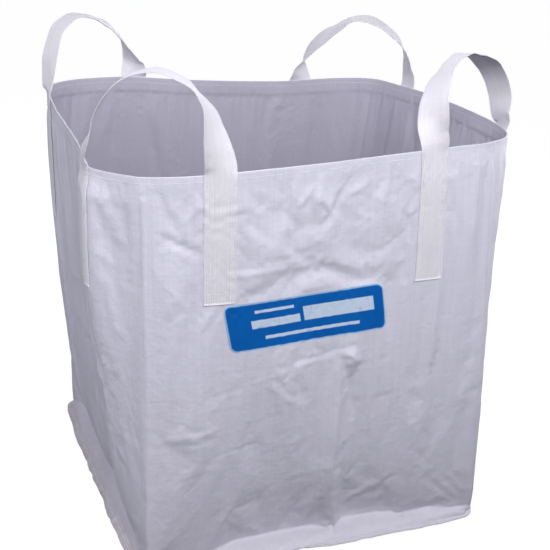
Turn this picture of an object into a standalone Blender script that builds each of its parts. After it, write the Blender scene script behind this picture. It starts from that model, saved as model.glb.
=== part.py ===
"""Open-top bulk bag with four cross-corner lift loops, as separate solids.

The frame is in metres with +Z up. The origin is at the centre of the base's underside,
the front wall faces -Y and the right wall faces +X.

The body is a woven tube that widens from its foot to its mouth. Its bottom edge turns
outwards into a seam margin that lies on the base panel, and its top edge is folded inwards
into a hem. Every lift loop is one webbing strap on the real bag. Here it is a free arch and
two legs, and the arch swings about the line that joins the tops of the legs.
"""
import math

import bmesh
import bpy
from mathutils import Matrix, Vector

# Driving dimensions
HEIGHT = 1.02            # floor to rim
MOUTH_HALF = 0.49        # centre to outside of a wall at the rim
FOOT_HALF = 0.44         # centre to outside of a wall at the base
MOUTH_RADIUS = 0.22      # corner radius at the rim
FOOT_RADIUS = 0.03       # corner radius at the base
FABRIC = 0.002           # thickness of one layer
GAP = 0.0003             # clearance between neighbouring solids
SEAM_MARGIN = 0.022      # width of the seam that stands out round the base
HEM_DEPTH = 0.04         # height of the folded top edge
CORNER_STEPS = 6         # segments in one rounded corner

STRAP_WIDTH = 0.07
STRAP_THICK = 0.0025
LEG_OFFSET = 0.25        # centre of a wall to centre of a leg
LEG_BOTTOM = 0.73        # height of a leg's sewn end
LEG_STUB = 0.06          # free length of a leg above the rim
LOOP_RISE = 0.145        # hinge line to the middle of the strap at its crown
LOOP_STEPS = 21          # odd, so that one flat segment lies at the crown
NOTCH = 1.6              # slope of the pointed top of a leg, which lets the arch swing past it
TIP_DROP = 0.003          # leg tip to hinge line

THREAD_RADIUS = 0.0006
THREAD_SIDES = 6
HEM_STITCH_DROP = 0.013  # rim to stitch line
ROW_INSET = 0.008        # edge of a strap to its outer stitch row
ROW_COUNT = 4            # stitch rows along a leg

LABEL_SIZE = (0.388, 0.118)
LABEL_CENTRE = (-0.066, 0.662)   # along the wall, and height above the floor
LABEL_THICK = 0.0006
LABEL_RADIUS = 0.016
LABEL_CORNER_STEPS = 4

# Worked out from them
FLANGE_Z = FABRIC + GAP
AXIS_Z = HEIGHT + LEG_STUB
WALL_SLOPE = (MOUTH_HALF - FOOT_HALF) / (HEIGHT - FLANGE_Z - FABRIC)
WALLS = ("front", "right", "back", "left")
CORNERS = ("front_left", "front_right", "back_right", "back_left")


def clear_scene():
    for old in list(bpy.data.objects):
        bpy.data.objects.remove(old, do_unlink=True)


def make_material(name, colour, roughness):
    material = bpy.data.materials.new(name)
    material.use_nodes = True
    shader = material.node_tree.nodes["Principled BSDF"]
    shader.inputs["Base Color"].default_value = (*colour, 1.0)
    shader.inputs["Roughness"].default_value = roughness
    shader.inputs["Metallic"].default_value = 0.0
    return material


def add_object(name, mesh, colour, roughness=0.8):
    mesh_object = bpy.data.objects.new(name, mesh)
    bpy.context.collection.objects.link(mesh_object)
    mesh_object.data.materials.append(make_material(name, colour, roughness))
    return mesh_object


def finish_mesh(name, work):
    bmesh.ops.recalc_face_normals(work, faces=work.faces)
    mesh = bpy.data.meshes.new(name)
    work.to_mesh(mesh)
    work.free()
    mesh.shade_smooth()
    mesh.set_sharp_from_angle(angle=math.radians(30))
    return mesh


def wall_distance(z):
    """Centre line of the bag to the outside of a wall, at height z."""
    return MOUTH_HALF - WALL_SLOPE * (HEIGHT - z)


def wall_radius(z):
    share = (z - FLANGE_Z - FABRIC) / (HEIGHT - FLANGE_Z - FABRIC)
    return FOOT_RADIUS + share * (MOUTH_RADIUS - FOOT_RADIUS)


def rounded_square(half, radius, z):
    """Points of a square with round corners, counterclockwise seen from above."""
    points = []
    for corner in range(4):
        middle = math.radians(45 + 90 * corner)
        centre_x = math.copysign(half - radius, math.cos(middle))
        centre_y = math.copysign(half - radius, math.sin(middle))
        for step in range(CORNER_STEPS + 1):
            angle = math.radians(90 * (corner + step / CORNER_STEPS))
            x = centre_x + radius * math.cos(angle)
            y = centre_y + radius * math.sin(angle)
            points.append((x, y, z))
    return points


def wall_outline(inset, z):
    """Outline of the wall at height z, moved inwards by inset."""
    return rounded_square(wall_distance(z) - inset, wall_radius(z) - inset, z)


def skin_between(work, loops, closed):
    """Join outlines of equal length with quads, and return their vertices."""
    rings = [[work.verts.new(point) for point in loop] for loop in loops]
    pairs = list(zip(rings, rings[1:]))
    if closed:
        pairs.append((rings[-1], rings[0]))
    for low, high in pairs:
        count = len(low)
        for index in range(count):
            following = (index + 1) % count
            work.faces.new((low[index], low[following], high[following], high[index]))
    return rings


def body_tube_mesh():
    """The tube: up its outside to the rim, over the folded hem and down its inside."""
    flange_top = FLANGE_Z + FABRIC
    flange_half = FOOT_HALF + SEAM_MARGIN
    flange_radius = FOOT_RADIUS + SEAM_MARGIN
    hem_low = HEIGHT - HEM_DEPTH
    loops = [
        rounded_square(flange_half, flange_radius, FLANGE_Z),
        rounded_square(flange_half, flange_radius, flange_top),
        wall_outline(0.0, flange_top),
        wall_outline(0.0, HEIGHT),
        wall_outline(2 * FABRIC, HEIGHT),
        wall_outline(2 * FABRIC, hem_low),
        wall_outline(FABRIC, hem_low),
        rounded_square(FOOT_HALF - FABRIC, FOOT_RADIUS - FABRIC, FLANGE_Z),
    ]
    work = bmesh.new()
    skin_between(work, loops, closed=True)
    return finish_mesh("body_tube", work)


def base_panel_mesh():
    half = FOOT_HALF + SEAM_MARGIN
    radius = FOOT_RADIUS + SEAM_MARGIN
    work = bmesh.new()
    loops = [rounded_square(half, radius, 0.0), rounded_square(half, radius, FABRIC)]
    rings = skin_between(work, loops, closed=False)
    work.faces.new(rings[0])
    work.faces.new(rings[1])
    return finish_mesh("base_panel", work)


def strip_mesh(name, inner_rows, outer_rows):
    """A band from two grids of points: its inner and its outer face, row by row."""
    work = bmesh.new()
    inner = [[work.verts.new(point) for point in row] for row in inner_rows]
    outer = [[work.verts.new(point) for point in row] for row in outer_rows]
    rows = len(inner)
    columns = len(inner[0])
    for r in range(rows - 1):
        for c in range(columns - 1):
            for grid in (inner, outer):
                work.faces.new((grid[r][c], grid[r][c + 1], grid[r + 1][c + 1], grid[r + 1][c]))
        for c in (0, columns - 1):
            work.faces.new((inner[r][c], inner[r + 1][c], outer[r + 1][c], outer[r][c]))
    for r in (0, rows - 1):
        for c in range(columns - 1):
            work.faces.new((inner[r][c], inner[r][c + 1], outer[r][c + 1], outer[r][c]))
    return finish_mesh(name, work)


def leg_mesh():
    """A sewn leg on the front wall, centred on x = 0. Its free top narrows to a point."""
    half = STRAP_WIDTH / 2
    across = (-half, 0.0, half)
    tops = [AXIS_Z - TIP_DROP - NOTCH * abs(x) for x in across]
    heights = [[LEG_BOTTOM] * 3, [HEIGHT] * 3, tops]
    inner_rows = []
    outer_rows = []
    for row in heights:
        inner = []
        outer = []
        for x, z in zip(across, row):
            distance = wall_distance(min(z, HEIGHT)) + GAP * 1.3
            inner.append((x, -distance, z))
            outer.append((x, -distance - STRAP_THICK, z))
        inner_rows.append(inner)
        outer_rows.append(outer)
    return strip_mesh("loop_leg", inner_rows, outer_rows)


def strap_centre_distance():
    """Centre of the bag to the middle of a leg's thickness above the rim."""
    return MOUTH_HALF + GAP * 1.3 + STRAP_THICK / 2


def arch_chord():
    """Half the distance between the two leg tops, and the middle of it, for front left."""
    on_front = Vector((-LEG_OFFSET, -strap_centre_distance(), 0.0))
    on_left = Vector((-strap_centre_distance(), -LEG_OFFSET, 0.0))
    return (on_left - on_front).length / 2, (on_front + on_left) / 2


def arch_turn(share):
    """Turn of the strap about Z, in radians: 0 at the front leg, 90 degrees at the other.

    The middle tenth of the arch stays at 45 degrees, so the crown is flat.
    """
    side = 2 * share - 1
    plateau = 0.1
    reach = max(0.0, (abs(side) - plateau) / (1 - plateau))
    eased = reach * reach * (3 - 2 * reach)
    return math.radians(45) * (1 + math.copysign(eased, side))


def arch_mesh():
    """The free arch of the front left loop about its own axis, which is its local origin."""
    half_chord, _ = arch_chord()
    chord = Vector((-1.0, 1.0, 0.0)).normalized()
    half = STRAP_WIDTH / 2
    inner_rows = []
    outer_rows = []
    for step in range(LOOP_STEPS + 1):
        share = step / LOOP_STEPS
        angle = math.pi * share
        centre = chord * (-half_chord * math.cos(angle)) + Vector((0, 0, LOOP_RISE * math.sin(angle)))
        tangent = chord * (half_chord * math.sin(angle)) + Vector((0, 0, LOOP_RISE * math.cos(angle)))
        tangent.normalize()
        turn = arch_turn(share)
        across = Vector((math.cos(turn), math.sin(turn), 0.0))
        across = (across - tangent * across.dot(tangent)).normalized()
        outwards = across.cross(tangent)
        inner = []
        outer = []
        for offset in (-half, 0.0, half):
            place = centre + across * offset
            if step in (0, LOOP_STEPS):
                place.z = GAP
            inner.append(place - outwards * STRAP_THICK / 2)
            outer.append(place + outwards * STRAP_THICK / 2)
        inner_rows.append(inner)
        outer_rows.append(outer)
    return strip_mesh("loop_arch", inner_rows, outer_rows)


def thread_mesh(name, path, normal_of, closed):
    """A thread along a path of points; normal_of gives the side of the fabric it lies on."""
    loops = []
    count = len(path)
    for index, point in enumerate(path):
        before = path[index - 1] if closed or index > 0 else point
        after = path[(index + 1) % count] if closed or index < count - 1 else point
        tangent = (after - before).normalized()
        up = normal_of(point)
        side = tangent.cross(up).normalized()
        loop = []
        for k in range(THREAD_SIDES):
            angle = 2 * math.pi * k / THREAD_SIDES
            loop.append(point + (side * math.cos(angle) + up * math.sin(angle)) * THREAD_RADIUS)
        loops.append(loop)
    work = bmesh.new()
    rings = skin_between(work, loops, closed=closed)
    if not closed:
        work.faces.new(rings[0])
        work.faces.new(rings[-1])
    return finish_mesh(name, work)


def hem_stitching_mesh():
    """One thread round the inside of the hem, where no strap covers it."""
    z = HEIGHT - HEM_STITCH_DROP
    inset = 2 * FABRIC + THREAD_RADIUS + GAP * 1.3
    path = [Vector(point) for point in wall_outline(inset, z)]
    return thread_mesh("hem_stitching", path, lambda point: Vector((0, 0, 1)), closed=True)


def base_stitching_mesh():
    """One thread round the seam margin, on top of it."""
    z = FLANGE_Z + FABRIC + GAP + THREAD_RADIUS
    outline = rounded_square(FOOT_HALF + SEAM_MARGIN / 2, FOOT_RADIUS + SEAM_MARGIN / 2, z)
    path = [Vector(point) for point in outline]
    return thread_mesh("base_seam_stitching", path, lambda point: Vector((0, 0, 1)), closed=True)


def leg_stitching_mesh():
    """One thread that runs up and down a leg in rows, on the leg's outer face."""
    width = STRAP_WIDTH - 2 * ROW_INSET
    low = LEG_BOTTOM + ROW_INSET
    high = HEIGHT - HEM_STITCH_DROP
    path = []
    for row in range(ROW_COUNT):
        x = -width / 2 + width * row / (ROW_COUNT - 1)
        ends = (low, high) if row % 2 == 0 else (high, low)
        for z in ends:
            distance = wall_distance(z) + STRAP_THICK + THREAD_RADIUS + GAP * 3
            path.append(Vector((x, -distance, z)))
    return thread_mesh("leg_stitching", path, lambda point: Vector((0, -1, 0)), closed=False)


def label_mesh():
    """A thin film patch with round corners, parallel to the front wall."""
    half_width = LABEL_SIZE[0] / 2
    half_height = LABEL_SIZE[1] / 2
    outline = []
    for corner in range(4):
        middle = math.radians(45 + 90 * corner)
        centre_x = math.copysign(half_width - LABEL_RADIUS, math.cos(middle))
        centre_z = math.copysign(half_height - LABEL_RADIUS, math.sin(middle))
        for step in range(LABEL_CORNER_STEPS + 1):
            angle = math.radians(90 * (corner + step / LABEL_CORNER_STEPS))
            x = LABEL_CENTRE[0] + centre_x + LABEL_RADIUS * math.cos(angle)
            z = LABEL_CENTRE[1] + centre_z + LABEL_RADIUS * math.sin(angle)
            outline.append((x, z))
    loops = []
    for distance in (GAP * 1.3, GAP * 1.3 + LABEL_THICK):
        loops.append([(x, -wall_distance(z) - distance, z) for x, z in outline])
    work = bmesh.new()
    rings = skin_between(work, loops, closed=False)
    work.faces.new(rings[0])
    work.faces.new(rings[1])
    return finish_mesh("front_label", work)


def add_legs():
    """Eight legs and their threads: two on each wall, all turned copies of one leg."""
    leg = leg_mesh()
    thread = leg_stitching_mesh()
    for number, wall in enumerate(WALLS):
        turn = Matrix.Rotation(math.radians(90 * number), 4, "Z")
        for side in (-1, 1):
            corner = CORNERS[(number + (side > 0)) % 4]
            place = turn @ Matrix.Translation((side * LEG_OFFSET, 0, 0))
            strap = add_object(f"leg_{corner}_on_{wall}_wall", leg.copy(), (0.80, 0.79, 0.76))
            strap.matrix_world = place
            row = add_object(f"stitching_{corner}_on_{wall}_wall", thread.copy(), (0.9, 0.9, 0.88))
            row.matrix_world = place


def add_loops():
    """Four arches, each with its origin in the middle of its hinge line."""
    arch = arch_mesh()
    _, middle = arch_chord()
    for number, corner in enumerate(CORNERS):
        turn = Matrix.Rotation(math.radians(90 * number), 4, "Z")
        place = turn @ Matrix.Translation((middle.x, middle.y, AXIS_Z))
        loop = add_object(f"lift_loop_{corner}", arch.copy(), (0.82, 0.81, 0.78))
        loop.matrix_world = place


def main():
    clear_scene()
    add_object("body_tube", body_tube_mesh(), (0.62, 0.62, 0.68), 0.6)
    add_object("base_panel", base_panel_mesh(), (0.58, 0.58, 0.64), 0.6)
    add_object("hem_stitching", hem_stitching_mesh(), (0.85, 0.85, 0.86))
    add_object("base_seam_stitching", base_stitching_mesh(), (0.85, 0.85, 0.86))
    add_object("front_label", label_mesh(), (0.01, 0.10, 0.36), 0.4)
    add_legs()
    add_loops()


main()
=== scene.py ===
"""The looks of the open-top bulk bag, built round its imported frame.

The walls are one woven tube. A place on it is its girth, counted in panels from the front
left crease (0 to 1 is the front wall, then right, back and left), and its height. Everything
that is sewn to the walls takes its place from that same surface: the straps, their
stitching, the label and the seams.
"""

import math

import bmesh
import bpy
import numpy as np
from mathutils import Matrix, Vector


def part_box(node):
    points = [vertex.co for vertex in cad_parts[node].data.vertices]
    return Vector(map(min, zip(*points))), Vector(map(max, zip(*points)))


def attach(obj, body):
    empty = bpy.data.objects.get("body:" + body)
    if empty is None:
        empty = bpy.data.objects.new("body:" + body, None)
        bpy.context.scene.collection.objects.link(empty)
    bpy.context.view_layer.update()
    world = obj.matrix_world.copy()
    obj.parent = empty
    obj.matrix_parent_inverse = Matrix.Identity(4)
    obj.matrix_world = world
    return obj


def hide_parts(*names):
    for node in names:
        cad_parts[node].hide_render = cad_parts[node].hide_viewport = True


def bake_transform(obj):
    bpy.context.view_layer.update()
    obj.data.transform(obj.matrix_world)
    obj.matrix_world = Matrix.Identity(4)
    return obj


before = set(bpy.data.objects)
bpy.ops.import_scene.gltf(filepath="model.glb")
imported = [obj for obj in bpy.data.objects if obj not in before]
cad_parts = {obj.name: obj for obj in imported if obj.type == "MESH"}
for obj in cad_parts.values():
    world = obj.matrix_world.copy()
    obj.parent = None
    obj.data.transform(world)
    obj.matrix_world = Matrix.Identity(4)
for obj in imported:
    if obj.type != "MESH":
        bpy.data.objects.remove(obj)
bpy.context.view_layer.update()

# Sizes read from the frame
_, PANEL_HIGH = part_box("base_panel")
_, TUBE_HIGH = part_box("body_tube")
_, THREAD_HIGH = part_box("base_seam_stitching")
SEAM_HALF = PANEL_HIGH.x                          # centre to the outer edge of the base seam
SEAM_MARGIN = 2 * (SEAM_HALF - THREAD_HIGH.x)     # the thread runs in the middle of the margin
FOOT_HALF = SEAM_HALF - SEAM_MARGIN
RIM_Z = TUBE_HIGH.z
LEG_LOW, LEG_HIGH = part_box("leg_front_left_on_front_wall")
STRAP_WIDTH = LEG_HIGH.x - LEG_LOW.x
LABEL_LOW, LABEL_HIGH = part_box("front_label")
LABEL_CENTRE = (LABEL_LOW + LABEL_HIGH) / 2
LABEL_WIDTH = LABEL_HIGH.x - LABEL_LOW.x
LABEL_TALL = LABEL_HIGH.z - LABEL_LOW.z
GIRTH = 8 * FOOT_HALF                             # length of cloth all round

# The open mouth as it stands, from the front left crease and anticlockwise seen from above:
# x, y and the rim's height above or below the frame's rim. The corner past the front left
# crease is folded sharply, the others are rounded.
MOUTH_POINTS = (
    (-0.430, -0.396, -0.020), (-0.350, -0.440, -0.012), (-0.250, -0.462, -0.004), (-0.048, -0.464, 0.002),
    (0.163, -0.455, 0.009), (0.290, -0.447, 0.013), (0.382, -0.434, 0.013), (0.460, -0.388, 0.013),
    (0.498, -0.300, 0.013), (0.511, -0.165, 0.014), (0.513, 0.059, 0.012), (0.509, 0.227, 0.003),
    (0.487, 0.350, -0.002), (0.400, 0.428, -0.012), (0.220, 0.453, -0.020), (-0.048, 0.459, -0.008),
    (-0.255, 0.460, 0.009), (-0.405, 0.437, 0.011), (-0.482, 0.352, 0.015), (-0.505, 0.225, 0.013),
    (-0.511, 0.050, 0.000), (-0.512, -0.130, -0.006), (-0.515, -0.225, -0.020), (-0.513, -0.262, -0.030),
    (-0.496, -0.296, -0.030), (-0.462, -0.350, -0.026),
)
MOUTH_CREASES = (0, 6, 12, 17)         # the four pressed creases, among the points above
MOUTH_STEPS = 24

# Fabric
CLOTH = 0.0011                # thickness of the woven fabric as shown
HEM_DEPTH = 0.04
HEM_STITCH_DROP = 0.013
GIRTH_STEPS = 680
WALL_ROWS = 190
MARGIN_ROWS = 5
HEM_LAYERS = 2                # extra layers where the top edge is folded in
RIM_STEPS = 6                 # steps round the folded rim
BASE_RINGS = 40
BASE_RIPPLE = 0.004           # how far the base panel stands off the floor in places

# The slack that the wall buckles with
SLACK = 0.007
SLACK_GRAVITY = 0.25          # share of its weight that the cloth settles with
CLOTH_SETTINGS = {
    "quality": 6,
    "mass": 0.15,
    "air_damping": 2.0,
    "tension_stiffness": 60,
    "compression_stiffness": 60,
    "shear_stiffness": 30,
    "bending_stiffness": 0.12,
    "tension_damping": 12,
    "compression_damping": 12,
    "shear_damping": 12,
    "bending_damping": 0.6,
    "shrink_min": -SLACK,
    "shrink_max": -SLACK,
    "pin_stiffness": 1.0,
}
SETTLE_FRAMES = 24
SETTLE_COLUMNS = 300
SETTLE_ROWS = 86
SETTLE_LIMIT = 0.025          # the most that a point may move

# Straps
STRAP_THICK = 0.0022
LEG_BOTTOM = 0.722
LEG_SHARES = {                # how far each leg is from its crease, in panels: before it, after it
    "front_left": (0.212, 0.195),
    "front_right": (0.195, 0.215),
    "back_right": (0.195, 0.250),
    "back_left": (0.195, 0.245),
}
STRAP_COLUMNS = 44
STRAP_STEP = 0.006            # spacing of the rows along a strap
STRAP_OFF = 0.0005            # gap between a sewn leg and the wall
RIB_COUNT = 13
RIB_DEPTH = 0.00022
STRAP_BOW = 0.0015            # how much the free webbing cups across its width

THREAD_RADIUS = 0.0006
STITCH_LENGTH = 0.0075
STITCH_PITCH = 0.009
LEG_ROWS = (-0.030, -0.022, 0.022, 0.030)      # rows of stitching, from the strap's centre line
CROSS_ROWS = (2, 4)           # rows of the strap's grid that hold the stitches across its end

NOISE_ROWS = 512              # the noise repeats after this many units of y
HOLLOW_ROWS = 64              # and the creased height after this many

# The foot of the walls
FABRIC_FLOOR = PANEL_HIGH.z + 0.0015
FOOT_RISE = 0.003             # the seam's thickness lifts the walls
LEFT_FOOT_RISE = 0.018        # how much higher the curled seam holds the left wall
FOOT_RADIUS = 0.02
FOOT_STEPS = 8                # steps round one foot corner
DENT_DEPTH = 0.046            # how far the empty bag slumps inwards above its seam
DENT_RISE = 0.032             # height above the foot where it is deepest
DENT_TOP = 0.26               # height above the foot where it ends

# Where the walls stand fuller than a straight line from foot to mouth: girth and its half width
# in panels, height and its half width, and how far out, in metres
SWELLINGS = (
    (1.00, 0.32, 0.30, 0.60, 0.030),
    (3.15, 0.50, 0.68, 0.24, 0.020),
    (3.35, 0.50, 0.05, 0.26, 0.014),
    (3.80, 0.12, 0.72, 0.24, 0.026),
)

CORNERS = ("front_left", "front_right", "back_right", "back_left")
WALLS = ("front", "right", "back", "left")

# Folds pressed or crumpled into the walls: place along the girth and height in metres,
# direction in degrees from level, half length, half width and height of the ridge.
FOLDS = (
    (0.345, 0.965, 82, 0.028, 0.007, 0.006),
    (0.368, 0.945, 52, 0.034, 0.008, 0.007),
    (0.405, 0.945, 86, 0.038, 0.008, 0.009),
    (0.430, 0.925, 128, 0.036, 0.009, 0.007),
    (0.455, 0.935, 58, 0.042, 0.009, -0.008),
    (0.500, 0.955, 30, 0.040, 0.010, 0.007),
    (0.560, 0.935, -28, 0.045, 0.011, 0.004),
    (0.440, 0.880, 50, 0.040, 0.012, 0.003),
    (0.330, 0.890, -52, 0.035, 0.010, 0.003),
    (0.250, 0.790, 4, 0.055, 0.012, 0.004),
    (0.415, 0.800, 70, 0.030, 0.008, 0.003),
    (0.680, 0.700, -20, 0.060, 0.012, 0.003),
    (0.150, 0.300, -8, 0.060, 0.010, 0.005),
    (0.250, 0.340, 6, 0.070, 0.010, -0.007),
    (0.360, 0.330, 14, 0.060, 0.010, 0.005),
    (0.600, 0.420, 4, 0.070, 0.010, -0.005),
    (0.730, 0.500, 86, 0.160, 0.014, 0.004),
    (0.600, 0.960, 84, 0.045, 0.008, -0.003),
    (0.580, 0.950, 80, 0.045, 0.008, 0.003),
    (0.420, 0.560, 8, 0.120, 0.010, -0.009),
    (0.400, 0.545, 6, 0.130, 0.013, 0.008),
    (0.515, 0.545, -28, 0.032, 0.012, 0.015),
    (0.520, 0.600, 88, 0.060, 0.016, 0.007),
    (0.300, 0.520, 14, 0.090, 0.014, 0.008),
    (0.210, 0.500, 10, 0.090, 0.014, -0.008),
    (0.330, 0.470, -38, 0.075, 0.018, 0.009),
    (0.520, 0.440, -76, 0.100, 0.026, -0.016),
    (0.475, 0.300, 86, 0.170, 0.032, 0.020),
    (0.110, 0.400, 4, 0.075, 0.011, 0.009),
    (0.110, 0.380, 4, 0.085, 0.012, -0.007),
    (0.640, 0.170, 2, 0.110, 0.050, -0.015),
    (0.700, 0.330, 18, 0.120, 0.018, 0.005),
    (0.800, 0.110, -46, 0.090, 0.032, -0.012),
    (0.840, 0.125, -46, 0.090, 0.026, 0.006),
    (0.380, 0.225, 12, 0.150, 0.032, 0.010),
    (0.200, 0.150, 62, 0.080, 0.022, 0.008),
    (0.270, 0.165, 5, 0.120, 0.048, -0.015),
    (0.440, 0.130, 82, 0.100, 0.030, 0.010),
    (0.055, 0.930, -60, 0.060, 0.012, -0.006),
    (0.080, 0.860, -25, 0.090, 0.018, -0.006),
    (0.060, 0.760, -50, 0.070, 0.016, 0.005),
    (3.205, 0.420, -70, 0.150, 0.020, -0.018),
    (3.310, 0.200, -68, 0.110, 0.020, -0.019),
    (3.130, 0.700, -80, 0.110, 0.018, -0.008),
    (3.360, 0.480, -78, 0.120, 0.014, 0.006),
    (2.900, 0.600, -88, 0.220, 0.020, 0.006),
    (3.180, 0.860, -80, 0.090, 0.012, -0.008),
    (3.250, 0.960, 50, 0.040, 0.010, 0.004),
)
FOLD_STRENGTH = 0.80
FOLD_SOFT = 0.003             # rounding of a crease's crest
FOLD_LONG_SIDE = 2.6
FOLD_COUNT = 90               # further folds, scattered over the other three walls
FOLD_SEED = 11
CREASE_RISE = 0.0035          # height and width of the four pressed creases
CREASE_WIDTH = 0.007
# Broad unevenness of the cloth: features round the girth, their height, depth and noise seed
UNEVEN = ((10, 0.36, 0.0055, 3), (26, 0.15, 0.0030, 5), (64, 0.05, 0.0011, 8))
WIDE_CRUMPLE = 0.0042
FINE_CRUMPLE = 0.0022

# Each loop stands in its own way. Its line holds points of the arch, from the first leg to the
# second: the share of the span between the legs, and the height above the rim. It leans
# outwards by a share of its height. Its rolls are (share of the arch, degrees), and lift the
# edge of the webbing that faces away from the bag.
LOOP_SHAPES = {
    "front_left": {
        "lean": 0.10,
        "rolls": ((0.08, 15), (0.2, 10), (0.35, -1), (0.5, -3), (0.62, 20), (0.70, 48), (0.75, 51),
                  (0.82, 42), (0.88, 30), (0.94, 16)),
        "line": ((0.05, 0.05), (0.12, 0.11), (0.25, 0.165), (0.42, 0.200), (0.60, 0.211),
                 (0.79, 0.190), (0.92, 0.145), (0.97, 0.08)),
    },
    "front_right": {
        "lean": -0.20,
        "rolls": ((0.06, 12), (0.14, 42), (0.22, 54), (0.35, 47), (0.45, 25), (0.52, 4), (0.6, 4),
                  (0.7, 18), (0.85, 27), (0.94, 18)),
        "line": ((0.00, 0.05), (0.04, 0.11), (0.17, 0.160), (0.40, 0.188), (0.60, 0.188),
                 (0.79, 0.166), (0.93, 0.126), (1.00, 0.08), (1.00, 0.035)),
    },
    "back_right": {
        "lean": 0.10,
        "rolls": ((0.05, 3), (0.10, 9), (0.18, 14), (0.26, 19), (0.35, 9), (0.5, 8), (0.62, 33),
                  (0.74, 58), (0.82, 66), (0.88, 64), (0.95, 30)),
        "line": ((0.01, 0.04), (0.06, 0.10), (0.18, 0.15), (0.38, 0.187), (0.54, 0.190),
                 (0.72, 0.155), (0.88, 0.115), (0.98, 0.07), (1.00, 0.035)),
    },
    "back_left": {
        "lean": 0.10,
        "rolls": ((0.04, 30), (0.09, 60), (0.14, 73), (0.19, 76), (0.26, 63), (0.38, 31), (0.5, 8),
                  (0.6, -7), (0.7, 0), (0.85, 20), (0.95, 16)),
        "line": ((0.00, 0.045), (0.07, 0.10), (0.20, 0.143), (0.36, 0.17), (0.54, 0.188),
                 (0.70, 0.184), (0.83, 0.158), (0.925, 0.105), (0.975, 0.05)),
    },
}

# The label and the materials
LABEL_RADIUS = 0.018
LABEL_TILT = math.radians(1.7)
LABEL_LEAN = 0.20             # its ends lean back by this share of its height
LABEL_FILM = 0.0004           # thickness
LABEL_OFF = 0.0003            # gap to the wall
LABEL_ROWS = 60
LABEL_COLUMNS = 160
TAPE_PITCH = 0.0031           # width of one woven tape
YARN_PITCH = 0.0011           # and of one yarn of the webbing
FABRIC_LIGHT = (0.79, 0.785, 0.885, 1)
FABRIC_SHADE = (0.70, 0.69, 0.79, 1)
FABRIC_LILAC = (0.75, 0.735, 0.85, 1)
# dust colour, also used for the painted shade that darkens the cloth towards the floor
FABRIC_DUST_AND_LOW_SHADE = (0.52, 0.50, 0.54, 1)
# grime colour near the seam, also used for painted shade on the seam margin, most along the left wall
FABRIC_GRIME_AND_SHADE = (0.47, 0.435, 0.465, 1)
# colour of the shade painted on the cloth inside the bag
FABRIC_SHADOW = (0.36, 0.34, 0.42, 1)
FABRIC_THROUGH = (0.80, 0.78, 0.86, 1)
INSIDE_SHADED_LIGHTNESS = 0.50           # how much of its lightness the cloth keeps under the shade painted inside the bag
SEEN_THROUGH = 0.04           # share of the light that comes through the cloth
WEBBING_LIGHT = (0.86, 0.845, 0.895, 1)
WEBBING_SHADE = (0.74, 0.725, 0.78, 1)
WEBBING_GREY = (0.65, 0.635, 0.68, 1)
THREAD_LIGHT = (0.86, 0.86, 0.89, 1)
THREAD_SHADE = (0.70, 0.70, 0.74, 1)
LABEL_BLUE = (0.002, 0.125, 0.47, 1)
LABEL_DEEP = (0.001, 0.10, 0.39, 1)
LABEL_PALE = (0.62, 0.74, 0.88, 1)
LABEL_EDGE = (0.46, 0.68, 0.90, 1)
LABEL_BORDER = 0.0036
# The label's plain bars: centre and half size, as shares of its length and height
LABEL_BARS = (
    (0.300, 0.800, 0.120, 0.030),
    (0.300, 0.540, 0.150, 0.085),
    (0.700, 0.610, 0.225, 0.150),
    (0.520, 0.240, 0.300, 0.035),
)

# Stage and light
WHITE = (1, 1, 1, 1)
FLOOR_COLOUR = (0.09, 0.09, 0.10, 1)
AMBIENT_COLOUR = (0.80, 0.80, 0.90, 1)
AMBIENT_STRENGTH = 0.44
# Round lights: name, place, target, size across, watts and colour
LIGHTS = (
    ("key", (-0.40, -2.3, 2.6), (0, -0.2, 0.85), 1.0, 56, (1.0, 0.99, 1.0)),
    ("fill", (2.3, -2.0, 2.5), (0, 0, 0.8), 1.6, 13, (0.94, 0.94, 1.0)),
    ("side", (-3.1, -0.1, 1.9), (-0.4, 0.05, 0.75), 1.4, 24, (0.96, 0.96, 1.0)),
    ("rear", (1.4, 3.0, 2.6), (0, 0, 0.6), 2.0, 18, (0.96, 0.96, 1.0)),
    ("back", (1.3, 3.4, 0.85), (0.1, 0.45, 0.45), 1.6, 42, (0.97, 0.97, 1.0)),
    ("right", (3.4, 0.6, 0.85), (0.45, 0, 0.45), 1.6, 30, (0.97, 0.97, 1.0)),
    ("left", (-3.3, 1.0, 0.8), (-0.44, 0, 0.4), 1.6, 9, (0.97, 0.97, 1.0)),
)

# The photograph's camera
CAMERA_PLACE = (-0.9137, -2.2334, 1.5887)
CAMERA_TURN = (-23.19, 22.79, 2.58)      # azimuth, elevation and roll in degrees
CAMERA_LENS = 62.97


# ---------------------------------------------------------------- curves and noise

class ClosedCurve:
    """A closed outline read by its share of length from its first point."""

    def __init__(self, points):
        closed = np.vstack([points, points[:1]])
        steps = np.linalg.norm(np.diff(closed, axis=0), axis=1)
        self.length = steps.sum()
        self.shares = np.concatenate([[0.0], np.cumsum(steps)]) / self.length
        self.points = closed

    def at(self, share):
        share = np.mod(share, 1.0)
        columns = [np.interp(share, self.shares, self.points[:, k]) for k in range(self.points.shape[1])]
        return np.stack(columns, axis=-1)


def smooth(value, low, high):
    """0 below low, 1 above high, and an even turn between them."""
    t = np.clip((np.asarray(value, float) - low) / (high - low), 0.0, 1.0)
    return t * t * (3 - 2 * t)


def bell(value, centre, width):
    return np.exp(-((np.asarray(value, float) - centre) / width) ** 2)


def unit(vectors):
    return vectors / np.linalg.norm(vectors, axis=-1, keepdims=True)


def lengths_along(points):
    """Length of a line of points up to each of them."""
    return np.concatenate([[0.0], np.cumsum(np.linalg.norm(np.diff(points, axis=0), axis=1))])


def read_line(places, lengths, values):
    """Rows of values read at places along a line whose rows stand at the given lengths."""
    return np.stack([np.interp(places, lengths, values[:, k]) for k in range(values.shape[1])], axis=1)


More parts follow.
